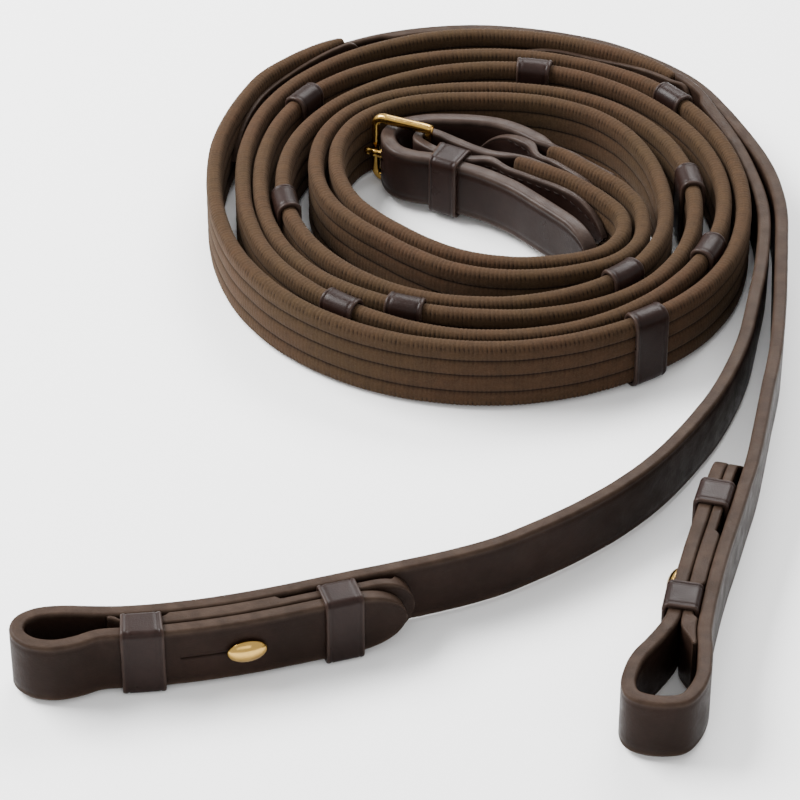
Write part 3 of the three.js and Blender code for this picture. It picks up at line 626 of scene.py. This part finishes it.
# ---------------------------------------------------------------- the web
def web(half):
    """The ribbed web: four round ribs along it on each face, and fine cords across it."""
    route = ROUTES[half["name"]]
    start, end = half["web_start"] + 0.3, half["web_end"]
    pitch, rib_depth, flat_edge = 1.12, 0.52, 2.4
    s = np.arange(start, end, pitch / 4)
    height = WEB_TOP - WEB_BOTTOM
    marks = [0, 5.0, 10.0, 14.5, height]
    arc = 1.95
    z0 = [arc * (1 - math.cos(a)) for a in np.linspace(0, math.pi / 2, 5)[:-1]]
    for a, b in zip(marks, marks[1:]):
        for u in (0.0, 0.06, 0.22, 0.5, 0.78, 0.94):
            z0.append(a + (b - a) * u)
    z0 += [height - arc * (1 - math.cos(a)) for a in np.linspace(0, math.pi / 2, 5)[:-1]]
    z0 = np.unique(np.round(z0, 3))
    z0 = z0[np.concatenate([[True], np.diff(z0) > 0.05])]
    inset, groove = np.zeros_like(z0), np.zeros_like(z0)
    for a, b in zip(marks, marks[1:]):
        u = np.clip((z0 - a) / (b - a), 0, 1)
        within = (z0 >= a - 1e-9) & (z0 <= b + 1e-9)
        round_rib = 1 - np.sqrt(np.clip(4 * u * (1 - u), 0, 1))
        inset = np.where(within, rib_depth * round_rib, inset)
        groove = np.where(within, round_rib, groove)
    to_edge = np.minimum(z0, height - z0)
    corner = np.where(to_edge < arc, arc - np.sqrt(np.clip(arc ** 2 - (arc - to_edge) ** 2, 0, None)), 0)
    inset = np.where(to_edge < flat_edge, np.maximum(corner, 0), inset)
    groove = np.where(to_edge < flat_edge, 0, groove)
    at_edge = np.clip(1 - to_edge / 1.7, 0, 1)

    held = [*stop_places(half), start, end]
    near = np.minimum.reduce([np.abs(s - m) for m in held])
    dip = 0.85 * (1 - np.exp(-(near / 28) ** 2))
    count = len(z0)
    cord = np.abs(np.sin(math.pi * (s[:, None] + 0.1 * slow_noise(s, 5, 9)[:, None]) / pitch)) ** 0.8
    jitter = 1 + 0.25 * slow_noise(s, 11, 3.7)[:, None]
    specks = np.exp(-((to_edge - 1.25) / 0.55) ** 2)
    uneven = 0.8 + 0.2 * slow_noise(s, 19, 5.3)[:, None] * np.cos(z0 * 2.1)[None, :]
    valley = (1 - cord) * jitter * uneven
    deep = (0.1 + 0.08 * at_edge + 0.14 * specks)[None, :]
    face_out = WEB_HALF + 0.04 * slow_noise(s, 3, 31)[:, None] - inset[None, :]
    normal_z = np.where(z0 < height / 2, -1, 1) * at_edge
    offset = face_out - valley * deep * (1 - 0.6 * at_edge[None, :])
    z = (WEB_BOTTOM - dip)[:, None] + z0[None, :] - valley * deep * normal_z[None, :] * 0.9
    z = z + 0.1 * slow_noise(s, 17, 53)[:, None]
    from_end = np.minimum(s - start, end - s)[:, None]
    pinch = 0.36 * np.clip(1 - from_end / 11, 0, 1) ** 2
    blunt = 0.9 * (1 - np.sqrt(1 - np.clip(1 - from_end / 1.5, 0, 1) ** 2))
    offset = (offset - np.sign(offset) * blunt * 0.6) * (1 - pinch)
    middle = WEB_BOTTOM + height / 2
    above = z - middle
    z = middle + above * (1 - 0.16 * pinch) - np.sign(above) * np.minimum(blunt, np.abs(above))
    offsets = np.concatenate([offset, -offset[:, ::-1]], 1)
    zz = np.concatenate([z, z[:, ::-1]], 1)
    along = np.repeat(s[:, None], 2 * count, 1)
    plan = route.beside(along, offsets)
    points = np.concatenate([plan, zz[..., None]], -1)
    shadow = (0.34 + 0.12 * at_edge + 0.8 * specks)[None, :]
    depth = np.clip(valley * shadow + 0.9 * groove[None, :] ** 1.5, 0, 1)
    depth = np.concatenate([depth, depth[:, ::-1]], 1)
    columns = 2 * count
    caps = end_caps(len(s), columns)
    v = np.concatenate([z0, height + 3 + z0[::-1]])
    uv = np.stack([along, np.repeat(v[None, :], len(s), 0)], -1)
    obj = build_mesh(f"{half['name']}_ribbed_web", points, ring_quads(len(s), columns), caps, uv,
                     {"depth": depth, "edge": np.zeros_like(depth)}, WEB)
    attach(obj, "reins")
    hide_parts(f"{half['name']}_web")


def stop_places(half):
    return [half["first_stop"] + k * half["stop_spacing"] for k in range(5)]


def place(obj, body, *nodes):
    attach(obj, body)
    if nodes:
        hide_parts(*nodes)
    return obj


def fold_side(half, near, far):
    """left and right faces of a piece beside the strap, on the side that the tail is folded to."""
    inner = lambda s: half["fold"] * value(near, s)
    outer = lambda s: half["fold"] * value(far, s)
    return (outer, inner) if half["fold"] > 0 else (inner, outer)


# ---------------------------------------------------------------- the bit ends
def bit_end(half):
    route, name, fold = ROUTES[half["name"]], half["name"], half["fold"]
    end = half["web_start"]
    seed = 21 if name == "left" else 22
    left = lambda s: ramp(s, end - 15, end - 11, BIT_HALF, 0.3)
    tail_stud = half["tail_stud"]
    rise = 2.5 if name == "left" else 0.0
    top = lambda s: ramp(s, end - 34, end - 7, BIT_TOP, BIT_TOP + rise)
    slit = (tail_stud + 3.2, tail_stud + 14.5, 7.75, 8.25)
    strap = sweep(f"{name}_bit_strap_leather", route, 0, end, left, -BIT_HALF, BIT_BOTTOM, top, BRIDLE,
                  "leather", tip_start=(14, 0.12), holes=[slit], seed=seed)
    place(strap, "reins", f"{name}_bit_strap")

    keeper_places = [(half["loop_keeper"], 5.0), (half["runner"], 13.1)]

    def near(s):
        recess = np.zeros_like(s)
        for middle, reach in keeper_places:
            recess = np.maximum(recess, ramp(np.abs(s - middle), reach, reach + 1, 1.2, 0))
        return 1.85 + recess

    far = lambda s: ramp(s, half["backing"], half["backing"] + 7, 2.9, 5.5)
    faces = fold_side(half, near, far)
    backing = sweep(f"{name}_bit_backing_leather", route, half["backing"], half["tip"], *faces, BIT_BOTTOM,
                    BIT_TOP, BRIDLE, "leather", tip_end=(10, 0.1), radius=0.6, seed=seed + 4)
    place(backing, "reins", f"{name}_bit_backing")

    for piece, middle, body in (("loop_keeper", half["loop_keeper"], "reins"),
                                ("runner_keeper", half["runner"], f"{name}_runner")):
        sides = (9.35, 2.85) if fold > 0 else (-2.85, -9.35)
        loop = band(f"{name}_{piece}_leather", route, middle, 9, *sides, BIT_BOTTOM - EASE, BIT_TOP + EASE,
                    LOOP_WALL, BURNISHED, "leather", rim=0.05)
        place(loop, body, f"{name}_{piece}")

    stud(half)
    web_tongue(half)


def stud(half):
    """The oval domed head and its shank."""
    route, fold = ROUTES[half["name"]], half["fold"]
    s0 = half["stud"]
    middle = (BIT_BOTTOM + BIT_TOP) / 2
    seat = TAIL_GAP + BIT_HALF + EASE
    facets = 40
    profile = [(1.5, 1.9 - seat), (1.5, -0.9), (2.0, -0.35), (2.6, 0.0), (3.0, 0.18), (3.12, 0.5),
               (3.05, 0.85), (2.8, 1.3), (2.35, 1.75), (1.75, 2.12), (1.05, 2.38), (0.4, 2.5), (0.04, 2.52)]
    turn = np.linspace(0, 2 * math.pi, facets, endpoint=False)
    t = route.heading(np.array([s0]))[0]
    out = np.array([-t[1], t[0]]) * fold
    base = route.at(np.array([s0]))[0]
    points = []
    for r, h in profile:
        long, high = (1.52, 0.96) if h > -0.5 else (1.0, 1)
        along = r * long * np.cos(turn)
        up = middle + r * np.sin(turn) * high
        plan = base + np.outer(along, t) + out * (seat + h)
        points.append(np.column_stack([plan, up]))
    points = np.array(points)
    head = build_mesh(f"{half['name']}_hook_stud_brass", points, ring_quads(len(profile), facets),
                      end_caps(len(profile), facets), points[..., :2],
                      {"edge": np.zeros(points.shape[:2])}, BRASS)
    place(head, "reins", f"{half['name']}_hook_stud")


def web_tongue(half):
    """The thin pointed leather tongue on the web's inner face."""
    route, name = ROUTES[half["name"]], half["name"]
    start = half["web_start"]
    near = lambda s: ramp(s, start - 6, start - 0.5, 0.5, WEB_HALF + 0.05)
    left = lambda s: near(s) + 1.25
    top = lambda s: ramp(s, start - 2, start + 30, WEB_TOP - 0.7, BIT_TOP - 0.6)
    first = start - (10.5 if name == "left" else 6.0)
    body = sweep(f"{name}_web_tongue_leather", route, first, start + 58, left, near, BIT_BOTTOM, top,
                 BRIDLE, "leather", radius=0.45, tip_start=(7, 0.4), tip_end=(24, 0.35), crease=1.3,
                 seed=31)
    place(body, "reins", f"{name}_web_tongue")
    rows = []
    for sign in (-1, 1):
        height = lambda s: row_height(sign, 9.2, 5.9, start + 56 - s, 22, 0.05)
        rows.append(stitches(f"{name}_row", route, start - 8, start + 53, left, 1, height))
    place(join(rows, f"{name}_web_tongue_stitching"), "reins")


def hand_stops(half):
    route, name = ROUTES[half["name"]], half["name"]
    for index, middle in enumerate(stop_places(half)):
        stop = band(f"{name}_hand_stop_leather_{index + 1}", route, middle, 9.5,
                    WEB_HALF + EASE, -WEB_HALF - EASE, WEB_BOTTOM - 0.15, WEB_TOP + EASE, LOOP_WALL,
                    BURNISHED, "glossy_leather", corner=1.9, rim=0.12)
        place(stop, "reins", f"{name}_hand_stop_{index + 1}")


# ---------------------------------------------------------------- the centre join
def buckle_strap_route():
    route, end = ROUTES["right"], RIGHT["web_end"]
    points = [route.beside(end - back, -LAP) for back in np.arange(20.0, -0.1, -5.0)]
    points += [route.beside(end + on, -2.3) for on in (7.0, 14.0, 21.0)]
    return Route([*points, *BUCKLE_STRAP_TURN])


def chape_route():
    route, end = ROUTES["left"], LEFT["web_end"]
    points = [route.beside(end - back, LAP) for back in np.arange(35.0, -0.1, -5.0)]
    points.append(route.beside(end + 7.0, 1.45))
    points += CHAPE_FRONT
    for degrees in (228, 200, 172, 144, 116, 88, 54):
        a = math.radians(degrees)
        points.append(HINGE + 3.0 * np.array([math.cos(a), math.sin(a)]))
    points += CHAPE_BACK
    points.append(route.beside(end + 7.0, -1.45))
    points += [route.beside(end - back, -LAP) for back in (0.0, 9.0)]
    return Route(points)


def nearest(route, target, low, high):
    """The distance between low and high at which a route comes closest to a place."""
    s = np.linspace(low, high, 400)
    return float(s[np.argmin(np.linalg.norm(route.at(s) - target, axis=1))])


def buckle_point(u, n):
    """The place u along the buckle from its hinge and n in front of it."""
    return HINGE + BUCKLE_ALONG * u + BUCKLE_FRONT * n


def centre_leather():
    route = buckle_strap_route()
    half = lambda s: ramp(s, 20.5, 27, 0.85, 2.0)
    thin = lambda s: -half(s)
    crossing = nearest(route, buckle_point(12.0, 3.0), 40, 85)
    slot = (crossing - 4.4, crossing + 4.4, *SLOT_HEIGHTS)
    strap = sweep("buckle_strap_leather", route, 0, route.length, half, thin, CENTRE_BOTTOM, CENTRE_TOP,
                  GLAZED, "leather", tip_end=(12, 0.15), radius=0.9, step=0.7, crease=1.7, crease_depth=0.2,
                  holes=[slot], seed=41)
    place(strap, "reins", "buckle_strap")

    right, end = ROUTES["right"], RIGHT["web_end"]
    near = lambda s: ramp(s, end, end + 6, WEB_HALF + 0.1, 0.05)
    left = lambda s: near(s) + ramp(s, end, end + 6, 1.6, 2.6) * ramp(s, end + 8, end + 22, 1, 0.42)
    lining = sweep("buckle_strap_lining_leather", right, end - 25, end + 23, left, near, CENTRE_BOTTOM,
                   CENTRE_TOP, GLAZED, "leather", radius=0.6, tip_start=(14, 0.3), tip_end=(17, 0.3),
                   crease=1.4, seed=42)
    place(lining, "reins", "buckle_strap_lining")
    rows = []
    for sign in (-1, 1):
        height = lambda s: row_height(sign, CENTRE_MIDDLE, 5.6, s - (end - 24), 13)
        rows.append(stitches("row", right, end - 22, end + 16, left, 1, height, pitch=CENTRE_PITCH))
    for z in (CENTRE_BOTTOM + 2.2, CENTRE_TOP - 2.2):
        rows.append(stitches("row", route, 2, 40, thin, -1, z, pitch=CENTRE_PITCH))
    place(join(rows, "buckle_strap_stitching"), "reins")

    fold = chape_route()
    thicken = lambda s, lap: ramp(s, lap + 0.5, lap + 6, 0.8, 1.3)
    half_chape = lambda s: np.minimum(thicken(s, 35), thicken(fold.length - s, 9))
    turn = nearest(fold, buckle_point(3.0, 0.0), 40, 80)
    slot = (turn - 5.5, turn + 3.5, *SLOT_HEIGHTS)
    chape = sweep("buckle_chape_leather", fold, 0, fold.length, half_chape, lambda s: -half_chape(s),
                  CENTRE_BOTTOM, CENTRE_TOP, GLAZED, "leather", radius=0.6, tip_start=(16, 0.3), step=0.6,
                  crease=1.4, holes=[slot], seed=43)
    place(chape, "reins", "buckle_chape")
    rows = []
    for sign in (-1, 1):
        height = lambda s: row_height(sign, CENTRE_MIDDLE, 5.6, s - 1, 15)
        rows.append(stitches("row", fold, 2.5, 44, half_chape, 1, height, pitch=CENTRE_PITCH))
    place(join(rows, "buckle_chape_stitching"), "reins")

    keeper = band("buckle_keeper_leather", route, 95.5, 8.4, 5.5, -2.15, CENTRE_BOTTOM - EASE,
                  CENTRE_TOP + EASE, 1.1, BURNISHED, "glossy_leather", corner=1.0, rim=0.1)
    place(keeper, "reins", "buckle_keeper")


def square_to(line):
    """The direction square to a line of points in two dimensions, at each of them."""
    step = np.gradient(line, axis=0)
    step /= np.linalg.norm(step, axis=1, keepdims=True)
    return np.stack([step[:, 1], -step[:, 0]], 1)


def buckle_frame():
    """A frame with a thick top and bottom, a round outer bar and a hinge bar."""
    along = BUCKLE_ALONG
    low, high, bend = 1.6, 20.0, 2.3
    path, size, deep = [], [], []

    def add(u, z, w, d):
        path.append((u, z))
        size.append(w)
        deep.append(d)

    out = BUCKLE_REACH
    heel = -0.9
    member = lambda u: 1.38 - 0.28 * max(0, 1 - (u - heel) / 3) ** 2
    for u in np.linspace(heel, out - bend, 14):
        add(u, low, member(u), 1.18)
    for a in np.linspace(0, 90, 8)[1:-1]:
        b = math.radians(a)
        add(out - bend + bend * math.sin(b), low + bend * (1 - math.cos(b)), 1.38 - 0.26 * a / 90, 1.16)
    for z in np.linspace(low + bend, high - bend, 14):
        add(out, z, 1.1, 1.12)
    for a in np.linspace(0, 90, 8)[1:-1]:
        b = math.radians(a)
        add(out - bend * (1 - math.cos(b)), high - bend + bend * math.sin(b), 1.12 + 0.26 * a / 90, 1.16)
    for u in np.linspace(out - bend, heel, 14):
        add(u, high, member(u), 1.18)
    path = np.array(path)
    side = square_to(path)
    centre = np.column_stack([HINGE + path[:, :1] * along, path[:, 1]])
    outwards = np.column_stack([side[:, :1] * along, side[:, 1]])
    across = np.column_stack([np.repeat(BUCKLE_FRONT[None, :], len(path), 0), np.zeros(len(path))])
    frame_bar = tube("bar", centre, outwards, across, size, deep, BRASS, sides=24, power=0.82)
    post = np.column_stack([np.repeat(HINGE[None, :], 12, 0), np.linspace(low - 0.6, high + 0.6, 12)])
    ones = np.repeat(np.array([[1.0, 0, 0]]), 12, 0)
    twos = np.repeat(np.array([[0, 1.0, 0]]), 12, 0)
    hinge_bar = tube("post", post, ones, twos, 1.1, 1.1, BRASS)
    place(join([frame_bar, hinge_bar], "buckle_frame_brass"), "buckle_frame", "buckle_frame")


def buckle_tongue():
    """A pin curled round the hinge bar, slightly bowed, with two rings turned near its tip."""
    along, front = BUCKLE_ALONG, BUCKLE_FRONT
    curl, height = 2.05, 10.3
    curve = []
    for a in np.linspace(-170, 78, 22):
        b = math.radians(a)
        curve.append((-curl * math.cos(b), curl * math.sin(b)))
    tip = BUCKLE_REACH + 2.5
    for u in np.linspace(1.2, tip, 46):
        bow = 0.55 * math.sin(math.pi * np.clip((u - 1) / (tip - 1), 0, 1))
        curve.append((u, 2.15 + bow + 0.25 * u / tip))
    curve = np.array(curve)
    side = square_to(curve)
    plan = HINGE + curve[:, :1] * along + curve[:, 1:] * front
    centre = np.column_stack([plan, np.full(len(curve), height)])
    axis_a = np.column_stack([side[:, :1] * along + side[:, 1:] * front, np.zeros(len(curve))])
    axis_b = np.repeat(np.array([[0, 0, 1.0]]), len(curve), 0)
    distance = np.linalg.norm(np.diff(curve, axis=0, prepend=curve[:1]), axis=1).cumsum()
    from_tip = distance[-1] - distance
    ring_1, ring_2 = (0.24 * np.exp(-((from_tip - at) / 0.5) ** 2) for at in (1.1, 3.2))
    thick = 0.72 + ring_1 + ring_2
    thick = thick * np.clip((from_tip + 0.05) / 0.6, 0.1, 1) ** 0.5
    wide = 1.05 * np.clip((from_tip + 0.05) / 0.6, 0.1, 1) ** 0.5 + 0.12 * (thick - 0.72)
    tongue = tube("buckle_tongue_brass", centre, axis_a, axis_b, thick, wide, BRASS)
    place(tongue, "buckle_tongue", "buckle_tongue")


for one in (LEFT, RIGHT):
    bit_end(one)
    web(one)
    hand_stops(one)
centre_leather()
buckle_frame()
buckle_tongue()


# ---------------------------------------------------------------- floor and light
def studio():
    mesh = bpy.data.meshes.new("floor")
    reach = 3.0
    mesh.from_pydata([(-reach, -reach, 0), (reach, -reach, 0), (reach, reach, 0), (-reach, reach, 0)], [],
                     [(0, 1, 2, 3)])
    floor = bpy.data.objects.new("floor", mesh)
    bpy.context.scene.collection.objects.link(floor)
    material, nodes, links, shader = new_material("white_floor")
    put(shader, Roughness=0.7, Specular_IOR_Level=0.2)
    shader.inputs["Base Color"].default_value = (0.96, 0.96, 0.96, 1)
    mesh.materials.append(material)

    world = bpy.data.worlds.new("studio")
    world.use_nodes = True
    background = world.node_tree.nodes["Background"]
    background.inputs["Color"].default_value = (1, 1, 1, 1)
    background.inputs["Strength"].default_value = 1.15
    bpy.context.scene.world = world

    def aimed(place_at, aim):
        return (Vector(aim) - Vector(place_at)).to_track_quat("-Z", "Y").to_euler()

    for name, place_at, size, power in (
        ("key", (-0.75, 0.3, 0.85), (0.8, 0.6), 46.0),
        ("back", (0.35, 0.9, 0.9), (0.9, 0.5), 22.0),
        ("front", (0.1, -1.2, 0.9), (1.2, 0.6), 4.0),
    ):
        data = bpy.data.lights.new(name, "AREA")
        data.shape = "RECTANGLE"
        data.size, data.size_y = size
        data.energy = power
        light = bpy.data.objects.new(name, data)
        bpy.context.scene.collection.objects.link(light)
        light.location = place_at
        light.rotation_euler = aimed(place_at, (0, 0, 0))


studio()
